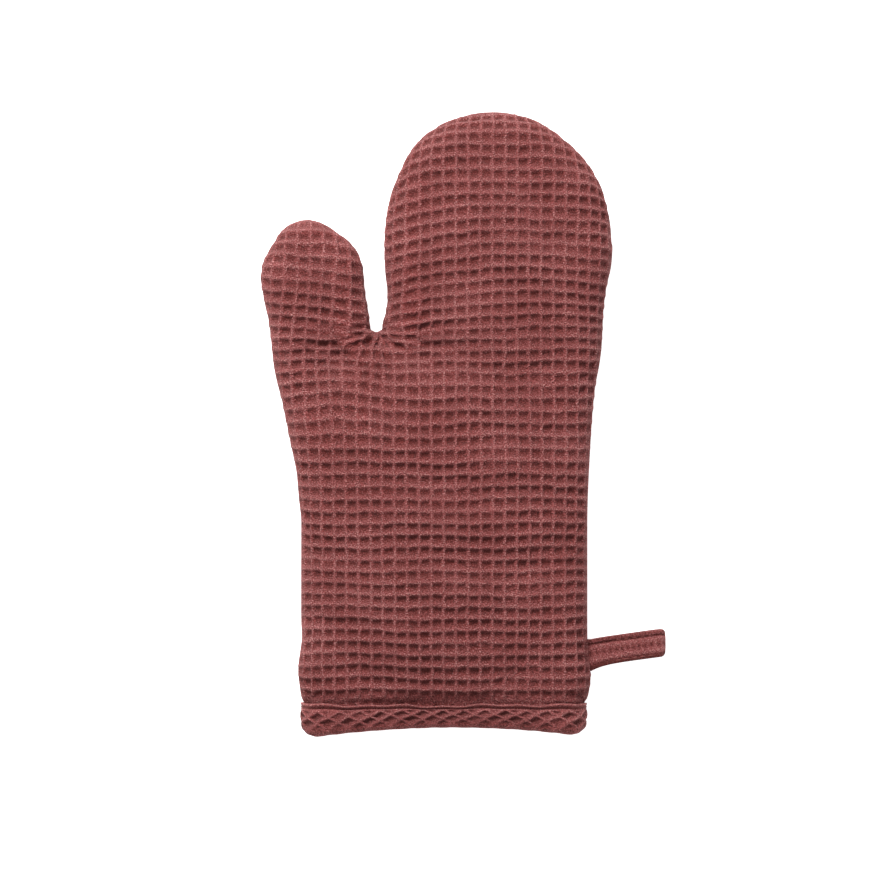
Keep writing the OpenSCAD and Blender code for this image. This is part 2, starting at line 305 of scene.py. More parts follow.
def drawn(p):
    """How far the threads at a flat point have been drawn from their straight places, right and up: the dip
    at the fork, the lift at the thumb's root, the droop at the fingers' right edge, a sag across the palm
    and a wobble."""
    x, y = p[..., 0], p[..., 1]
    beside = np.abs(x - fork_x)
    above = smooth((y - 184) / 34) * (1 - 0.45 * smooth((y - 235) / 80))
    dip = (10.5 * np.exp(-beside / 27) + 5 * np.exp(-beside / 20) * smooth((x - fork_x) / 8)) * above
    lift = 3.2 * hump(y, 176, 22) * np.exp(-((x + 52) / 26) ** 2)
    right_edge = 7.0 * np.exp(-np.clip(finger_right + 8 - x, 0, None) / 30) * smooth((y - 190) / 50)
    wobble = 0.5 * np.sin(x / 23 + 0.6 * np.sin(y / 31)) * np.sin(y / 37 + 0.8) + 0.45 * np.sin(x / 11 + y / 17)
    sideways = 2.6 * np.sign(x - fork_x) * (1 - np.exp(-beside / 7)) * hump(y, 205, 14) * np.exp(-beside / 18)
    lean = 3.0 * smooth((-36 - x) / 20) * hump(y, 196, 30) + 0.5 * np.sin(y / 29) * np.sin(x / 41)
    sag = 2.2 * hump(y, 122, 55)
    return np.stack([sideways + lean, dip - lift + right_edge + sag + wobble], axis=-1)


def flat_from_cloth(c):
    """The flat point that a thread crossing lies at: guess, compare and correct, twenty times over."""
    p = c.copy()
    for _ in range(20):
        p += 0.7 * (c - p - drawn(p))
    return p


corner_x = 70.0


def cuff_edge(x):
    """The cuff's edge: set back in the middle by a parabola, lowest at the left corner, and level past the
    corners."""
    x = np.clip(x, -corner_x, corner_x)
    return 4.4 * (1 - (x / corner_x) ** 2) + 0.9 * smooth((x + corner_x) / (2 * corner_x))


columns = np.arange(-cells_left * per_cell, cells_right * per_cell + 1)
rows = np.arange(-cells_down * per_cell, cells_up * per_cell + 1)
cloth = np.stack(np.meshgrid(columns * step, rows * step), axis=-1)
flat = flat_from_cloth(cloth)
edge_t, edge_at = (a.reshape(cloth.shape[:2]) for a in from_edge(flat.reshape(-1, 2)))
print(f"weave grid {cloth.shape[1]} by {cloth.shape[0]}, {step:.3f} mm apart")

# %% [markdown]
# ## Cutting the grid
# A quad is kept if all its corners lie inside the cloth's edge. The points left round the outside are then
# drawn onto the seam itself, which moves them by less than a grid step and leaves a clean outline. The
# front and the back use the same grid, so their edges meet point for point, as two faces sewn together do.


# %% Cut a face from the grid
raw_edge = 2.0


def cut(every):
    """Keeps the grid's quads that lie wholly inside the edge and beyond the raw edge that the binding
    hides. Gives the kept points' grid places, the quads as indices into them, and which points lie on the
    seam."""
    t, p, at, c = (a[::every, ::every] for a in (edge_t, flat, edge_at, cloth))
    inside = (t >= 0) & (p[..., 1] > cuff_edge(p[..., 0]) + raw_edge)
    quad = inside[:-1, :-1] & inside[1:, :-1] & inside[:-1, 1:] & inside[1:, 1:]
    around = np.zeros(t.shape, int)
    for j, i in ((0, 0), (0, 1), (1, 0), (1, 1)):
        around[j : j + quad.shape[0], i : i + quad.shape[1]] += quad
    used = around > 0
    number = np.full(t.shape, -1)
    number[used] = np.arange(used.sum())
    j, i = np.nonzero(quad)
    quads = np.stack([number[j, i], number[j, i + 1], number[j + 1, i + 1], number[j + 1, i]], axis=1)
    on_seam = (around < 4) & (t < 2.2 * step * every) & used
    t = np.where(on_seam, 0, t)
    return {"p": p[used], "t": t[used], "at": at[used], "cloth": c[used], "quads": quads, "seam": on_seam[used],
            "used": used}


def honeycomb(u, v):
    """Height of the weave from 0 at the bottom of a pit to 1 on a ridge, where u and v count cells. A pit
    is a four-sided pyramid upside down with a flat bottom, so its depth is the least of the distances to
    its ridges. It is steeper on its upper side, where the long threads pull. A soft minimum rounds its
    corners."""
    beside = np.clip((np.abs(u - np.round(u)) - 0.065) / 0.14, 1e-3, 1)
    f = v - np.floor(v)
    above = np.clip(np.minimum((f - 0.10) / 0.50, (0.97 - f) / 0.22), 1e-3, 1)
    return 1 - (beside**-4 + above**-4) ** -0.25 / 2**-0.25


chance = np.random.default_rng(11)
table_size = 90


def uneven(u, v, low, high):
    """A smooth random value between low and high for places counted in cells: a table with one entry for each
    cell, read in straight lines between its entries."""
    table = chance.uniform(low, high, (table_size, table_size))
    row, column = np.floor(v).astype(int), np.floor(u).astype(int)
    down, over_cell = v - row, u - column

    def entry(a, b):
        return table[(row + a) % table_size, (column + b) % table_size]

    first = entry(0, 0) * (1 - over_cell) + entry(0, 1) * over_cell
    second = entry(1, 0) * (1 - over_cell) + entry(1, 1) * over_cell
    return first * (1 - down) + second * down


def loosened(u, v):
    """The places again with each yarn pulled a little out of line, as in cloth that has been washed."""
    return u + uneven(u, v * 1.7, -0.07, 0.07), v + uneven(u * 1.7, v, -0.09, 0.09)


# The pleats' directions in degrees and their reach
pulled = [(12, 30), (-3, 38), (-18, 27), (168, 24), (184, 32), (200, 27), (-76, 19), (-91, 24), (-105, 20)]


def pleats(p):
    """The short folds that fan out from the fork, where the seam's turn gathers the cloth: each is a thin
    ridge along one direction, 1 at its crest, between two shallower hollows."""
    x, y = p[:, 0] - fork_x, p[:, 1] - fork_y + 1.5
    total = np.zeros(len(p))
    for degrees, reach in pulled:
        c, s = math.cos(math.radians(degrees)), math.sin(math.radians(degrees))
        ahead, beside = x * c + y * s, np.abs(y * c - x * s)
        spread_out = 0.9 + np.clip(ahead, 0, None) / 24
        ridge = np.exp(-((beside / spread_out) ** 2)) - 0.5 * np.exp(-(((beside / spread_out) - 2.0) ** 2))
        total += ridge * smooth(ahead / 4) * np.exp(-((ahead / reach) ** 2))
    return total


def by_lip(y):
    """1 just above the bound edge, where the faces drop to it."""
    return hump(y, binding_height + 0.6, 3.0)


fine = cut(1)
fine["uv"] = np.stack(loosened(*(fine["cloth"] / cell).T), axis=1)
pit_share = uneven(*(fine["uv"] + 0.5).T, 0.78, 1.12)
pit_share = np.clip(pit_share + uneven(*(fine["uv"] / [7, 1.3]).T, -0.22, 0.16), 0.35, 1.2)
at_rim = smooth(fine["t"] / 11)
on_tip = smooth((fine["p"][:, 1] - 254) / 12) * smooth((-38 - fine["p"][:, 0]) / 6)
at_fork = np.exp(-np.linalg.norm(fine["p"] - [fork_x, fork_y - 2], axis=1) / 6)
near_lip = by_lip(fine["p"][:, 1])
pit_share *= (0.08 + 0.92 * at_rim) * (1 - 0.6 * on_tip) * (1 - 0.9 * at_fork) * (1 - 0.6 * near_lip)
# Painted shade: the hollows between the fork's pleats and the band just above the bound edge are darkened in
# the colour, and the same numbers sink their pits a little deeper.
lip_shade = near_lip * hump(fine["p"][:, 0], -12, 48)
pleat_shade = np.clip(-pleats(fine["p"]), 0, 0.7)
fine["relief"] = 1 - (1 - honeycomb(*fine["uv"].T)) * pit_share - 0.5 * pleat_shade - 0.35 * lip_shade
print(f"fine cut: {len(fine['p'])} points, {len(fine['quads'])} quads")


# %% Make a mesh from arrays
def make(name, points, faces, uv=None, relief=None):
    """A new smooth-shaded object from points in millimetres from the cuff's middle. uv counts cloth cells,
    and relief is the weave's height with painted shade mixed in, kept as an attribute that the material colours
    by."""
    mesh = bpy.data.meshes.new(name)
    faces = faces.tolist() if isinstance(faces, np.ndarray) else faces
    mesh.from_pydata(((points + cuff_middle) / 1000).tolist(), [], faces)
    if uv is not None:
        corner = np.empty(len(mesh.loops), np.int32)
        mesh.loops.foreach_get("vertex_index", corner)
        layer = mesh.uv_layers.new(name="Cloth")
        layer.data.foreach_set("uv", uv[corner].astype(np.float32).ravel())
    if relief is not None:
        mesh.attributes.new("ReliefAndShade", "FLOAT", "POINT").data.foreach_set("value", relief.astype(np.float32))
    mesh.polygons.foreach_set("use_smooth", np.full(len(mesh.polygons), True))
    mesh.validate()
    mesh.update()
    piece = bpy.data.objects.new(name, mesh)
    bpy.context.scene.collection.objects.link(piece)
    return piece


def normals(points, quads, seam, at):
    """Unit normals at the points of a quad mesh: each quad's area normal is added to its corners. On the
    seam they are level and point straight out, so that the two faces agree there."""
    a, b, c, d = (points[quads[:, k]] for k in range(4))
    area = np.cross(c - a, d - b)
    out = np.zeros_like(points)
    for k in range(4):
        np.add.at(out, quads[:, k], area)
    out[seam] = np.c_[-along_seam(seam_in, at[seam]), np.zeros(seam.sum())]
    return out / np.maximum(np.linalg.norm(out, axis=1, keepdims=True), 1e-12)


# %% [markdown]
# ## Padding the front
# The front face is a cloth that wadding pushes up, so Blender's own cloth solver gives it its slack: a
# coarse copy is pinned round the rim, made a little too big, and blown up gently. Only how far it moved is
# kept, scaled to the lift that the wadding gives, and that is spread over the fine grid. Sculpting the
# folds by hand would also work, but slack cloth that buckles under pressure puts them where real ones are.

# %% Let the padding settle
coarse_every, wadding_lift, settle_frames = 4, 3.5, 24
coarse = cut(coarse_every)


def settle():
    """Runs the cloth solver on the coarse front and gives each of its points' movement in millimetres,
    scaled so that the fullest place rises by no more than the wadding would lift it."""
    start = lay(coarse["p"], coarse["t"], coarse["at"], 1)
    copy = make("settling", start, coarse["quads"])
    pinned = copy.vertex_groups.new(name="pinned")
    held = (coarse["t"] < 15) | (coarse["p"][:, 1] < 24)
    pinned.add(np.nonzero(held)[0].tolist(), 1.0, "REPLACE")
    cloth_mod = copy.modifiers.new("settle", "CLOTH")
    solver = cloth_mod.settings
    solver.quality, solver.mass, solver.air_damping = 8, 0.2, 4.0
    solver.tension_stiffness = solver.compression_stiffness = 12
    solver.shear_stiffness, solver.bending_stiffness = 6, 0.15
    solver.tension_damping = solver.compression_damping = solver.shear_damping = 10
    solver.use_pressure, solver.uniform_pressure_force = True, 1.5
    solver.shrink_min = solver.shrink_max = -0.012
    solver.vertex_group_mass = "pinned"
    solver.effector_weights.gravity = 0
    cloth_mod.collision_settings.use_collision = False
    cloth_mod.point_cache.frame_start, cloth_mod.point_cache.frame_end = 1, settle_frames
    scene = bpy.context.scene
    for number in range(1, settle_frames + 1):
        scene.frame_set(number)
    end = copy.evaluated_get(bpy.context.evaluated_depsgraph_get()).to_mesh()
    places = np.empty(len(end.vertices) * 3, np.float32)
    end.vertices.foreach_get("co", places)
    scene.frame_set(1)
    bpy.data.objects.remove(copy)
    moved = places.reshape(-1, 3) * 1000 - cuff_middle - start
    size = np.linalg.norm(moved, axis=1, keepdims=True)
    print(f"settled: moved {size.max():.1f} mm at most, {np.median(size):.1f} mm at the median")
    return moved * min(1, wadding_lift / size.max())


def spread(moved):
    """Coarse movements carried to the fine grid: put on the coarse grid, filled in between in straight
    lines both ways, then averaged twice over one coarse step so that no line shows."""
    grid = np.zeros(coarse["used"].shape + (3,))
    grid[coarse["used"]] = moved
    tall, wide = edge_t.shape
    y, x = np.arange(tall) / coarse_every, np.arange(wide) / coarse_every
    y0, x0 = np.minimum(y.astype(int), grid.shape[0] - 2), np.minimum(x.astype(int), grid.shape[1] - 2)
    fy, fx = (y - y0)[:, None, None], (x - x0)[None, :, None]
    grid = grid[y0] * (1 - fy) + grid[y0 + 1] * fy
    grid = grid[:, x0] * (1 - fx) + grid[:, x0 + 1] * fx
    weights = ((-2, 0.125), (-1, 0.25), (0, 0.25), (1, 0.25), (2, 0.125))
    for _ in range(2):
        for axis in (0, 1):
            grid = sum(np.roll(grid, k, axis=axis) * w for k, w in weights)
    return grid[fine["used"]]


settled = settle()
print(f"kept movement up to {np.abs(settled).max():.1f} mm")


# %% Soft folds
def folds(p):
    """Height in millimetres of what the needle and the hand leave in the cloth: the fork's pleats in a
    shallow hollow, long soft creases across the palm, and the drop to the bound edge."""
    x, y = p[:, 0], p[:, 1]
    total = 1.4 * pleats(p) - 1.6 * np.exp(-np.hypot(x - fork_x, y - fork_y + 1.5) / 12)
    ripple = np.sin((y - 0.05 * x) / 5.4 + 1.4 * np.sin(x / 33))
    total += 0.8 * ripple * hump(y, 112, 55) * hump(x, 5, 60)
    total -= 1.5 * hump(y + 0.10 * (x + 60), 60, 3.2) * smooth((-20 - x) / 45)
    total -= 1.2 * hump(y + 0.06 * x, 88, 3.0) * smooth((-30 - x) / 35)
    return total - (0.8 + 1.3 * hump(x, -12, 52)) * by_lip(y)


def face_surface(part, side, moved):
    """Where a cut of cloth lies once it is padded: laid, then moved by the settling and the folds on the
    front."""
    points = lay(part["p"], part["t"], part["at"], side)
    if side > 0:
        points += moved * smooth(part["t"] / 12)[:, None]
        points[:, 2] += folds(points) * smooth(part["t"] / 9)
    return points


# %% [markdown]
# ## Cotton yarn
# The cloth is one dyed yarn, painted darker in the pits and paler on the ridges: painted shade in the weave's
# hollows, on top of the shade that the relief casts.
# The mottling of single yarns is noise stretched along the threads, in the cloth's own coordinates so that
# it follows every fold. Fine bumps at the yarn's size catch the light. The small class below lets the
# shader be written as sums.


# %% Shader sums
class Wire:
    """A shader socket that can be added, subtracted and multiplied."""

    tree = None

    def __init__(self, socket):
        self.socket = socket

    def math(self, operation, other, swapped=False):
        pair = (other, self) if swapped else (self, other)
        return Wire.node("ShaderNodeMath", {"operation": operation}, {0: pair[0], 1: pair[1]})

    def __add__(self, other):
        return self.math("ADD", other)

    def __radd__(self, other):
        return self.math("ADD", other, True)

    def __sub__(self, other):
        return self.math("SUBTRACT", other)

    def __rsub__(self, other):
        return self.math("SUBTRACT", other, True)

    def __mul__(self, other):
        return self.math("MULTIPLY", other)

    def __rmul__(self, other):
        return self.math("MULTIPLY", other, True)

    @staticmethod
    def node(kind, settings=None, inputs=None, output=0):
        """Adds a node: its settings first, then a value or a link for each named socket."""
        n = Wire.tree.nodes.new(kind)
        for key, value in (settings or {}).items():
            setattr(n, key, value)
        for key, value in (inputs or {}).items():
            if isinstance(value, Wire):
                Wire.tree.links.new(value.socket, n.inputs[key])
            else:
                n.inputs[key].default_value = value
        return Wire(n.outputs[output])


def mix(factor, a, b):
    """A colour between a and b."""
    return Wire.node("ShaderNodeMix", {"data_type": "RGBA"}, {0: factor, 6: a, 7: b}, 2)


def yarn_noise(where, scale, detail=2.0):
    """Smooth noise from 0 to 1 about a half, with so many blobs to a cloth cell."""
    inputs = {"Vector": where, "Scale": scale, "Detail": detail, "Roughness": 0.6}
    return Wire.node("ShaderNodeTexNoise", {}, inputs)


def scaled(where, by):
    """A place in the cloth with each direction stretched by its own number."""
    return Wire.node("ShaderNodeVectorMath", {"operation": "MULTIPLY"}, {0: where, 1: by})


# %% The yarn and thread materials
def fabric(name, pit, ridge, fleck, yarns, bump_mm, woven=True, grain_by=1.0):
    """Dyed cotton. pit and ridge are its colours low and high in the weave, fleck a paler fibre, yarns the
    number of yarns in a cell, bump_mm how far they stand out, and grain_by how strongly they mottle the
    colour. On a woven cloth the darker pit colour is painted shade in the weave's hollows, and places darkened
    in the relief attribute take it too. A plain cloth has no relief and takes a tone near the ridge's."""
    material = bpy.data.materials.new(name)
    material.use_nodes = True
    Wire.tree = material.node_tree
    shader = Wire.tree.nodes["Principled BSDF"]
    if woven:
        place = Wire.node("ShaderNodeUVMap", {"uv_map": "Cloth"})
        high = Wire.node("ShaderNodeAttribute", {"attribute_name": "ReliefAndShade"}, {}, 2)
    else:
        place = scaled(Wire.node("ShaderNodeTexCoord", {}, {}, 3), (1000 / cell,) * 3)
        high = 0.8
    grain = yarn_noise(place, yarns)
    lengthwise = yarn_noise(scaled(place, (1.5, 0.6, 1.0)), yarns * 1.25, 1.0)
    crosswise = yarn_noise(scaled(place, (0.6, 1.5, 1.0)), yarns * 1.1, 1.0)
    patchy = yarn_noise(place, 0.22, 3.0)
    speckle = (grain - 0.5) * 2.8 + (lengthwise - 0.5) * 2.1 + (crosswise - 0.5) * 2.1
    # Painted shade: the tone follows the weave-height attribute, so pits, creases and other darkened places
    # come out in the darker colour.
    tone = high * 0.92 + speckle * grain_by + (patchy - 0.5) * 0.7
    colour = mix(Wire.node("ShaderNodeClamp", {}, {"Value": tone}), pit, ridge)
    pale = Wire.node("ShaderNodeMapRange", {"interpolation_type": "SMOOTHSTEP"},
                     {"Value": tone, "From Min": 0.95, "From Max": 1.45, "To Min": 0.0, "To Max": 1.0})
    colour = mix(pale, colour, fleck)
    Wire.tree.links.new(colour.socket, shader.inputs["Base Color"])
    Wire.tree.links.new((0.84 + speckle * 0.1).socket, shader.inputs["Roughness"])
    fuzz = yarn_noise(place, yarns * 2.1)
    height = (grain + lengthwise + crosswise) * 0.7 + fuzz * 0.5
    bump = Wire.node("ShaderNodeBump", {}, {"Strength": 1.0, "Distance": bump_mm / 1000, "Height": height})
    Wire.tree.links.new(bump.socket, shader.inputs["Normal"])
    shader.inputs["Sheen Weight"].default_value = 0.1
    shader.inputs["Sheen Roughness"].default_value = 0.5
    shader.inputs["Sheen Tint"].default_value = (1.0, 0.72, 0.7, 1)
    shader.inputs["Specular IOR Level"].default_value = 0.2
    return material


waffle_cotton = fabric("waffle cotton", pit=(0.140, 0.0165, 0.0125, 1), ridge=(0.375, 0.092, 0.089, 1),
                       fleck=(0.62, 0.27, 0.255, 1), yarns=8.5, bump_mm=2.2)
bias_cotton = fabric("bias waffle cotton", pit=(0.105, 0.0125, 0.0095, 1), ridge=(0.395, 0.100, 0.096, 1),
                     fleck=(0.62, 0.27, 0.255, 1), yarns=8.5, bump_mm=1.9, grain_by=0.8)
lining_cotton = fabric("lining cotton", pit=(0.20, 0.055, 0.050, 1), ridge=(0.32, 0.10, 0.092, 1),
                       fleck=(0.45, 0.18, 0.16, 1), yarns=14, bump_mm=0.2, woven=False, grain_by=0.5)
wadding_fibre = fabric("wadding fibre", pit=(0.62, 0.60, 0.54, 1), ridge=(0.84, 0.82, 0.77, 1),
                       fleck=(0.92, 0.91, 0.88, 1), yarns=3, bump_mm=0.8, woven=False, grain_by=0.6)
sewing_thread = fabric("sewing thread", pit=(0.08, 0.015, 0.013, 1), ridge=(0.20, 0.055, 0.050, 1),
                       fleck=(0.34, 0.12, 0.11, 1), yarns=16, bump_mm=0.1, woven=False, grain_by=0.5)
print("materials:", [m.name for m in bpy.data.materials])


# %% [markdown]
# ## The two faces
# Each face is laid in space, then every point sinks along the surface's normal by the depth of its pit. A
# thin wall is added on the inside, because the real cloth has two sides, and its hollows show through as
# bumps. The face's ends run into the binding at the cuff.

# %% Lay the front and back faces
pit_depth, cloth_wall = 1.65, 0.8


def pressed(points):
    """Cloth on the table: nothing goes below it."""
    points[:, 2] = np.maximum(points[:, 2], 0.02)
    return points


def face_piece(name, side):
    """A face: the fine cut laid in space, sunk along its normals by the pits' depth, and given a wall
    inwards."""
    points = face_surface(fine, side, spread(settled))
    quads = fine["quads"] if side > 0 else fine["quads"][:, ::-1]
    out = normals(points, quads, fine["seam"], fine["at"])
    points = points - out * ((1 - np.maximum(fine["relief"], -0.1)) * pit_depth)[:, None]
    piece = make(name, pressed(points), quads, fine["uv"], fine["relief"])
    wall = piece.modifiers.new("cloth thickness", "SOLIDIFY")
    wall.thickness, wall.offset = cloth_wall / 1000, -1
    piece.data.materials.append(waffle_cotton)
    return piece


front_face = face_piece("front_face", 1)
back_face = face_piece("back_face", -1)
for piece, node in ((front_face, "front_shell"), (back_face, "back_shell")):
    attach(piece, "mitt")
    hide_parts(node)
    print(piece.name, len(piece.data.polygons), "quads")


# %% [markdown]
# ## Wadding and lining
# Behind each face lies a sheet of wadding, then a plain lining that the hand feels. They follow the face at
# a fixed depth, so they are the coarse cut pushed in along its normals, with a thickness added inwards. The
# binding squeezes them together at the cuff.

# %% Lay the sheets behind the faces
def behind(name, side, depth, thick, material, node):
    """The coarse cut at a depth behind the face, with a wall of its own thickness. Both are squeezed inside
    the binding, and set a little deeper at the fork, where the face has no room to spare."""
    points = face_surface(coarse, side, settled)
    quads = coarse["quads"] if side > 0 else coarse["quads"][:, ::-1]
    out = normals(points, quads, coarse["seam"], coarse["at"])
    to_fork = np.linalg.norm(coarse["p"] - [fork_x, fork_y], axis=1)
    squeeze = 0.7 + 0.3 * smooth((points[:, 1] - binding_height) / 16) + 0.9 / depth * np.exp(-to_fork / 9)
    outer = points - out * (depth * squeeze)[:, None]
    inner = points - out * ((depth + thick) * squeeze)[:, None]
    n = len(points)
    edges = np.concatenate([quads[:, [k, (k + 1) % 4]] for k in range(4)])
    key = np.sort(edges, axis=1) @ [n, 1]
    _, first, uses = np.unique(key, return_index=True, return_counts=True)
    rim = edges[first[uses == 1]]
    walls = np.stack([rim[:, 1], rim[:, 0], rim[:, 0] + n, rim[:, 1] + n], axis=1)
    faces = np.r_[quads, quads[:, ::-1] + n, walls]
    piece = make(name, np.r_[outer, inner], faces, np.tile(coarse["cloth"] / cell, (2, 1)))
    piece.data.materials.append(material)
    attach(piece, "mitt")
    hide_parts(node)
    print(name, n, "points a side")
    return piece


for name, side in (("front", 1), ("back", -1)):
    wadding = behind(name + "_wadding_sheet", side, 3.2, 3.0, wadding_fibre, name + "_wadding")
for name, side in (("front", 1), ("back", -1)):
    behind(name + "_lining_sheet", side, 6.3, 0.6, lining_cotton, name + "_lining")


# %% [markdown]
# ## The bound cuff
# One strip of the same cloth, cut on the bias, goes round the mouth: up the outside, over the raw edge and
# down the inside. Cut on the bias, its cells stand on their corners, so it shows rows of diamonds. It's a
# profile carried round the mouth: the ring is the mouth's outline, and the profile is a folded strip with a
# thickness, closed at both of its edges.

# %% The mouth's outline and the strip's profile
def mouth_ring(count):
    """The cuff's outline seen from the wrist, as x and z evenly spaced, with its outward normals: the two
    rims and the level stretches between them, where the plies lie under the binding."""
    share, across, up = rim_curve(rim_power)
    x = cuff_half - binding_t - 0.2 - rim_width * across
    front, back = (cuff_rise - binding_t) * up, (binding_t - seam_z) * up
    outline = np.r_[np.c_[x, seam_z + front], np.c_[-x[::-1], seam_z + front[::-1]],
                    np.c_[-x, seam_z + back][1:], np.c_[x[::-1], seam_z + back[::-1]]]
    line = soften(evenly(outline, 0.5), 4)
    line = np.r_[line, line[:1]]
    ring = evenly(line, np.linalg.norm(np.diff(line, axis=0), axis=1).sum() / count)[:count]
    along = np.roll(ring, -1, axis=0) - np.roll(ring, 1, axis=0)
    along /= np.linalg.norm(along, axis=1, keepdims=True)
    return ring, np.stack([along[:, 1], -along[:, 0]], axis=1)


def strip_profile(count, inner):
    """The folded strip's section: distance from the cuff's edge, distance outwards and distance along it.
    It goes down the outside at 0, round the fold as half a circle, and up the inside at the inner
    distance."""
    fold_r = -inner / 2
    leg, bend = binding_height - fold_r, math.pi * fold_r
    s = np.linspace(0, 1, count) * (2 * leg + bend)
    turn = np.clip((s - leg) / fold_r, 0, math.pi)
    going_down, going_up = s < leg, s > leg + bend
    y = np.where(going_up, fold_r + (s - leg - bend), fold_r - fold_r * np.sin(turn))
    off = np.where(going_up, inner, inner / 2 + fold_r * np.cos(turn))
    return np.where(going_down, binding_height - s, y), np.where(going_down, 0.0, off), s


ring, ring_out = mouth_ring(560)
ring_length = np.linalg.norm(np.diff(np.r_[ring, ring[:1]], axis=0), axis=1).sum()
print(f"mouth ring {ring_length:.0f} mm round")


# %% Fold the binding over the cuff
diamond_wide, diamond_tall = 10.6, 7.6
crease_at, corner_r = 2.4, 7.5


def tube_quads(tall, around, closed_tall):
    """Quads of a grid that closes on itself round its second direction, and round its first if asked."""
    number = np.arange(tall * around).reshape(tall, around)
    up, nxt = np.roll(number, -1, axis=0), np.roll(number, -1, axis=1)
    quads = np.stack([number, nxt, np.roll(up, -1, axis=1), up], axis=-1)
    return quads[: tall if closed_tall else tall - 1].reshape(-1, 4)


def binding():
    """The strip carried round the mouth. Its outer side carries the diamonds, its free edge is rolled into
    a thin wavy lip over a sewn-down crease, and its thickness closes it."""
    leg_y, leg_off, s = strip_profile(80, -4.9)
    along_ring = np.arange(len(ring)) * ring_length / len(ring)
    down, along = np.meshgrid(s, along_ring, indexing="ij")
    a, d = along / diamond_wide, down / diamond_tall
    u, v = loosened(a + d + 30, a - d + 30)
    front = smooth(0.5 + (ring[:, 1] - seam_z) / 8)
    plain = smooth((down - 3.4) / 1.8) * (1 - 0.85 * hump(down, s.max() / 2, 4.5))
    share = plain * np.clip(uneven(u + 0.5, v + 0.5, 0.45, 1.15), 0, 1.1)
    relief = 1 - (1 - honeycomb(u, v)) * share
    from_middle = np.abs(ring[:, 0])
    level = 0.3 + 0.7 * (1 - smooth((from_middle - cuff_half + 9) / 7))
    lip = (0.8 * hump(down, 0.7, 0.8) - 1.5 * hump(down, crease_at, 0.9)) * level * (0.4 + 0.6 * front)
    lip += 0.5 * hump(down, 8.0, 4.0)
    wave = (0.45 * np.sin(along / 7.3) + 0.35 * np.sin(along / 3.1 + 1.0) + 0.3 * np.sin(along / 19.0)) * level
    from_end = np.clip((from_middle - (cuff_half - corner_r)) / corner_r, 0, 1)
    low = cuff_edge(ring[:, 0]) + 1.5 + 6.0 * (1 - np.sqrt(1 - from_end**2 * 0.98))
    across = np.gradient(np.c_[leg_y, leg_off], axis=0)
    across /= np.linalg.norm(across, axis=1, keepdims=True)
    sides = []
    for drop in (binding_t + 0.4 - pit_depth * (1 - relief) + lip, np.full_like(lip, 0.1)):
        y = low + (leg_y[:, None] + across[:, 1:] * drop) * (1 - low / binding_height)
        y += wave * hump(down, 0.3, 2.2)
        off = leg_off[:, None] - across[:, :1] * drop
        x, z = ring[:, 0] + ring_out[:, 0] * off, ring[:, 1] + ring_out[:, 1] * off
        sides.append(np.stack([x, y, z], axis=-1))
    points = np.concatenate([sides[0], sides[1][::-1]])
    uv = np.stack([u, v], axis=-1)
    # Painted shade: the colour is darkened in the diamonds' pits, in the sewn-down crease and, on the front,
    # over the lower part where the strip curves away from the light; the inner side takes one even tone.
    shade = relief - 0.6 * hump(down, crease_at, 0.8) - 0.35 * smooth((down - 8) / 6) * front
    uv, shade = np.concatenate([uv, uv[::-1]]), np.concatenate([shade, np.full_like(shade, 0.6)])
    quads = tube_quads(*points.shape[:2], True)
    piece = make("cuff_binding_strip", pressed(points.reshape(-1, 3)), quads, uv.reshape(-1, 2), shade.ravel())
    return piece, sides[0], s


def outwards(piece):
    """Turns a closed piece's faces so that they all point out."""
    bm = bmesh.new()
    bm.from_mesh(piece.data)
    bmesh.ops.recalc_face_normals(bm, faces=bm.faces)
    bm.to_mesh(piece.data)
    bm.free()


cuff_strip, strip_outside, strip_s = binding()
outwards(cuff_strip)
cuff_strip.data.materials.append(bias_cotton)
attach(cuff_strip, "mitt")
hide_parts("cuff_binding")
print("binding", len(cuff_strip.data.polygons), "quads")

# %% [markdown]
# ## The hanging loop
# A strip with its long edges turned in is folded in two and both ends are caught in the side seam, where it
# hinges. Its honeycomb runs lengthwise: two broad ribs with a row of pits between.

# %% Fold the loop
hinge = next(j for j in frame["record"]["behaviour"]["joints"] if j["name"] == "loop_swing")
root = np.array(hinge["pos_m"]) * 1000 - cuff_middle
loop_width, loop_t, eye_r = 14.0, 2.1, 3.5
end_r = eye_r + 2.0
reach = loop_high[0] - cuff_middle[0] - root[0]
hidden, loop_corner, loop_section, path_step = 6.0, 2.6, 5.0, 0.6


def loop_path():
    """The folded strip's middle line, seen along the seam, as distance out and height: a leg out from
    inside the seam, round the fold and back. The legs spread from the root and droop to the table."""
    leg = math.hypot(reach - end_r, seam_z - end_r)
    droop = math.asin((seam_z - end_r) / leg)
    mid_root, mid_end = 1.25, end_r - 1.0
    lean = math.asin((mid_end - mid_root) / leg)
    turn = np.linspace(math.pi / 2 + lean, -math.pi / 2 - lean, 40)
    fold = np.c_[leg + mid_end * np.cos(turn), mid_end * np.sin(turn)]
    start = mid_root * np.array([math.cos(turn[0]), math.sin(turn[0])])
    line = np.r_[[[-hidden, 1.15]], [start], fold, [start * [1, -1]], [[-hidden, -1.15]]]
    line = soften(evenly(line, path_step), 5)
    bend = smooth((line[:, 0] + 1) / 5)
    turned = line @ np.array([[math.cos(droop), -math.sin(droop)], [math.sin(droop), math.cos(droop)]])
    return line * (1 - bend)[:, None] + turned * bend[:, None]


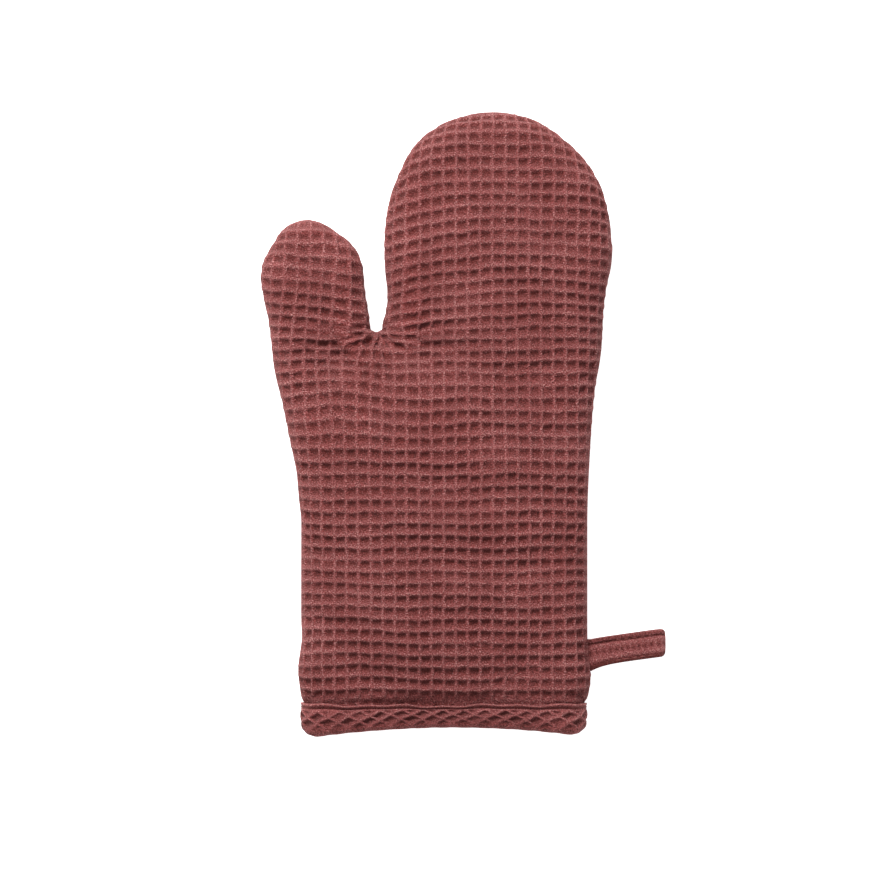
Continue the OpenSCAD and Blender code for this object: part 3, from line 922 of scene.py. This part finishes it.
def hanging_loop():
    """A rounded strip section carried along the folded line. Each section point has a place across the
    strip and a place through it. The outside carries the cloth's ribs lengthwise, with a row of small pits
    between them and a sewn-down groove near each edge."""
    line = loop_path()
    along = np.gradient(line, axis=0)
    length = np.r_[0, np.cumsum(np.linalg.norm(np.diff(line, axis=0), axis=1))]
    along /= np.linalg.norm(along, axis=1, keepdims=True)
    out = np.stack([-along[:, 1], along[:, 0]], axis=1)
    around = np.linspace(0, 2 * math.pi, 96, endpoint=False)
    across, through = rounded(around, loop_section)
    at_length, at_width = np.meshgrid(length, across * loop_width / 2, indexing="ij")
    rib = 0.5 + 0.5 * np.cos(2 * math.pi * (at_width - 2.2) / 5.0)
    pit_row = 0.62 + 0.38 * np.cos(2 * math.pi * (at_length + 0.4 * np.sin(at_length / 4)) / 3.1)
    pits = (1 - rib) * pit_row * (np.abs(at_width + 0.3) < 2.5)
    grooves = hump(at_width, 4.5, 0.6) + 0.5 * hump(at_width, -5.0, 0.8)
    at_fold = hump(at_length, length[-1] / 2, 5.0)
    outside = np.clip(through, 0, 1)[None, :] ** 0.5
    sink = 0.95 * (pits + grooves) * (1 - 0.95 * at_fold) * outside
    thick = loop_t / 2 * through[None, :] * (1 + 0.12 * rib * outside * (1 - at_fold)) - sink
    x = line[:, :1] + out[:, :1] * thick
    far = np.clip(line[:, :1], 0, None)
    past_corner = np.clip((x - reach + loop_corner) / loop_corner, 0, 0.995)
    rounding = 2.4 * (1 - np.sqrt(1 - past_corner**2))
    flare = 1 + 0.06 * np.exp(-far / 8) - rounding / (loop_width / 2)
    y = root[1] + at_width * flare + far * math.tan(math.radians(7))
    y -= (0.8 + 1.4 * smooth((-at_width - 1) / 6)) * np.exp(-far / 5.5)
    points = np.stack([root[0] + x, y, root[2] + line[:, 1:] + out[:, 1:] * thick], axis=-1)
    quads = tube_quads(*points.shape[:2], False)
    number = np.arange(points.shape[0] * points.shape[1]).reshape(points.shape[:2])
    ends = [number[0][::-1].tolist(), number[-1].tolist()]
    # Painted shade: the colour is darkened in the pits and grooves and along both long edges, most on the lower
    # one, where the strip turns away from the light.
    edge_shade = 0.5 * smooth((at_width - 4.8) / 1.2) + 1.1 * smooth((-at_width - 4.2) / 1.8)
    shade = 1.0 - 0.95 * pits - grooves - edge_shade
    uv = np.stack([at_length / cell, at_width / cell], axis=-1).reshape(-1, 2)
    piece = make("loop_strip", pressed(points.reshape(-1, 3)), quads.tolist() + ends, uv, shade.ravel())
    return piece, points, around


loop_strip, loop_points, loop_around = hanging_loop()
outwards(loop_strip)
loop_strip.data.materials.append(bias_cotton)
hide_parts("hanging_loop", "loop_sewn_ends")
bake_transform(loop_strip)
print(f"loop {len(loop_strip.data.polygons)} faces, reaches {reach:.1f} mm from its root")

# %% [markdown]
# ## Threads
# Two seams run round the outline inside the mitt: one holds the faces, one the linings. A seam's stitches
# lock into one cord, so each is a twisted thread carried along the seam line. The topstitching on the
# binding and on the loop is separate stitches, each a short thread that rises out of the cloth and dives
# back in. They lie in creases that they have pulled down themselves.

# %% Sew the seams
def seam_cord(name, inset, thick):
    """A section of two plies carried along the seam line at a depth, turning as it goes."""
    line = (seam_line + seam_in * inset)[::2]
    line = line[line[:, 1] > cuff_edge(corner_x) + binding_t + 1]
    centre = np.c_[line, np.full(len(line), seam_z)]
    along = np.gradient(centre, axis=0)
    along /= np.linalg.norm(along, axis=1, keepdims=True)
    level = np.stack([-along[:, 1], along[:, 0], np.zeros(len(along))], axis=1)
    sides = 10
    a = np.linspace(0, 2 * math.pi, sides, endpoint=False)
    twist = np.arange(len(line))[:, None] * 0.9
    radius = thick / 2 * (0.82 + 0.18 * np.cos(2 * (a[None, :] + twist)))
    section = np.cos(a)[None, :, None] * level[:, None] + np.sin(a)[None, :, None] * np.array([0, 0, 1.0])
    points = centre[:, None] + radius[..., None] * section
    number = np.arange(len(line) * sides).reshape(-1, sides)
    faces = tube_quads(len(line), sides, False).tolist() + [number[0][::-1].tolist(), number[-1].tolist()]
    piece = make(name, points.reshape(-1, 3), faces)
    outwards(piece)
    return piece


def stitches(name, starts, ends, up):
    """Short threads, all alike: each is a circle carried along an arch from its start to its end, and it
    thins at both. The arch starts just under the cloth and rises out of it."""
    rings, sides = 7, 8
    w, a = np.linspace(0, 1, rings), np.linspace(0, 2 * math.pi, sides, endpoint=False)
    along = (ends - starts) / np.linalg.norm(ends - starts, axis=1, keepdims=True)
    side = np.cross(along, up)
    arch = 0.3 * np.sin(math.pi * w) - 0.1
    middle = starts[:, None] + (ends - starts)[:, None] * w[None, :, None] + up[:, None] * arch[None, :, None]
    radius = 0.36 * np.sqrt(1.02 - (2 * w - 1) ** 6)
    cosines, sines = np.cos(a)[None, None, :, None], np.sin(a)[None, None, :, None]
    section = cosines * side[:, None, None] + sines * up[:, None, None]
    points = middle[:, :, None] + radius[None, :, None, None] * section
    near_end = np.array([[0, 3, 2, 1], [0, 5, 4, 3], [0, 7, 6, 5]])
    far_end = near_end[:, [0, 3, 2, 1]] + (rings - 1) * sides
    one = np.concatenate([tube_quads(rings, sides, False), near_end, far_end])
    faces = (one[None] + (np.arange(len(starts)) * rings * sides)[:, None, None]).reshape(-1, 4)
    piece = make(name, pressed(points.reshape(-1, 3)), faces)
    outwards(piece)
    return piece


# Stitches on the binding start every so many points of the ring, and each is so many long
ring_every, ring_stitch = 8, 6
crease = strip_outside[int(np.argmin(np.abs(strip_s - crease_at)))]
begins = np.arange(0, len(ring) - ring_every + 1, ring_every)
outward = np.c_[ring_out[:, 0], np.zeros(len(ring)), ring_out[:, 1]]
binding_stitches = stitches("binding_stitches", crease[begins], crease[begins + ring_stitch], outward[begins])

# The same on the loop, in rows of its mesh, clear of the mitt's side when the loop is up and clear of the
# fold
row_every, row_stitch = 7, 5
from_root, from_fold = 30, 12


def on_loop(column, first, last):
    """Starts, ends and outward directions of the stitches along one edge of the loop between two rows of
    its mesh."""
    begin = np.arange(first, last - row_stitch, row_every)
    inside = loop_points[:, (len(loop_around) - column) % len(loop_around)]
    lift = loop_points[begin, column] - inside[begin]
    lift /= np.linalg.norm(lift, axis=1, keepdims=True)
    return loop_points[begin, column], loop_points[begin + row_stitch, column], lift


across_at = rounded(loop_around, loop_section)[0] * loop_width / 2
edges = [int(np.argmin(np.abs(across_at[: len(loop_around) // 2] - place))) for place in (4.7, -5.5)]
rows_there = len(loop_points)
spans = ((from_root, rows_there // 2 - from_fold), (rows_there // 2 + from_fold, rows_there - from_root))
legs = [on_loop(edge, *span) for edge in edges for span in spans]
loop_stitches = stitches("loop_stitches", *(np.concatenate(part) for part in zip(*legs)))
sewn = [(seam_cord("shell_seam", 1.9, 0.7), "shell_seam_thread", "mitt"),
        (seam_cord("lining_seam", 7.2, 0.6), "lining_seam_thread", "mitt"),
        (binding_stitches, "binding_stitching", "mitt"), (loop_stitches, "loop_stitching", "loop")]
for piece, node, body in sewn:
    piece.data.materials.append(sewing_thread)
    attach(piece, body)
    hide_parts(node)
    print(piece.name, len(piece.data.polygons), "faces")

# %% [markdown]
# ## The table, the light and the camera
# The mitt lies on a pale surface under soft light that comes from beyond the fingertips, which is what
# makes each pit dark on its far side. The camera looks straight down through a long lens, so the mitt is
# drawn almost without perspective.

# %% Set the table, lights and camera
half = 3
floor = bpy.data.meshes.new("table")
floor.from_pydata([(-half, -half, 0), (half, -half, 0), (half, half, 0), (-half, half, 0)], [], [(0, 1, 2, 3)])
table = bpy.data.objects.new("table", floor)
bpy.context.scene.collection.objects.link(table)
paper = bpy.data.materials.new("pale paper")
paper.use_nodes = True
paper_inputs = paper.node_tree.nodes["Principled BSDF"].inputs
paper_inputs["Base Color"].default_value = (0.93, 0.93, 0.93, 1)
paper_inputs["Roughness"].default_value = 0.9
paper_inputs["Emission Color"].default_value = (1, 1, 1, 1)
paper_inputs["Emission Strength"].default_value = 0.85
floor.materials.append(paper)
table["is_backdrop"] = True


def soft_light(name, place, size, watts):
    """A round lamp, in metres and watts, that faces the mitt's middle."""
    lamp = bpy.data.lights.new(name, "AREA")
    lamp.shape, lamp.size, lamp.energy = "DISK", size, watts
    holder = bpy.data.objects.new(name, lamp)
    holder.location = place
    holder.rotation_euler = (-Vector(place)).to_track_quat("-Z", "Y").to_euler()
    bpy.context.scene.collection.objects.link(holder)


soft_light("window", (-0.50, 1.40, 1.25), 0.9, 59)
soft_light("sky", (0.2, -0.3, 2.2), 1.8, 7)
world = bpy.data.worlds.new("room")
world.use_nodes = True
world.node_tree.nodes["Background"].inputs["Color"].default_value = (1, 1, 1, 1)
world.node_tree.nodes["Background"].inputs["Strength"].default_value = 0.42
bpy.context.scene.world = world
bpy.context.scene.view_settings.view_transform = "Standard"

lens = bpy.data.cameras.new("camera")
lens.sensor_width, lens.clip_end = 36.0, 20
camera = bpy.data.objects.new("camera", lens)
view_width, away = 0.4564, 1.8
aim_x, aim_y = -0.0095, -0.0108
lens.lens = lens.sensor_width * away / view_width
camera.location = (aim_x, aim_y, away + seam_z / 1000)
bpy.context.scene.collection.objects.link(camera)
bpy.context.scene.camera = camera
print(f"lens {lens.lens:.0f} mm")

# %% Measure the frame and the scene
scene_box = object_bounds()
for name, box in (("frame", frame_box), ("scene", scene_box)):
    print(name, [[round(v * 1000, 1) for v in corner] for corner in box], "mm")
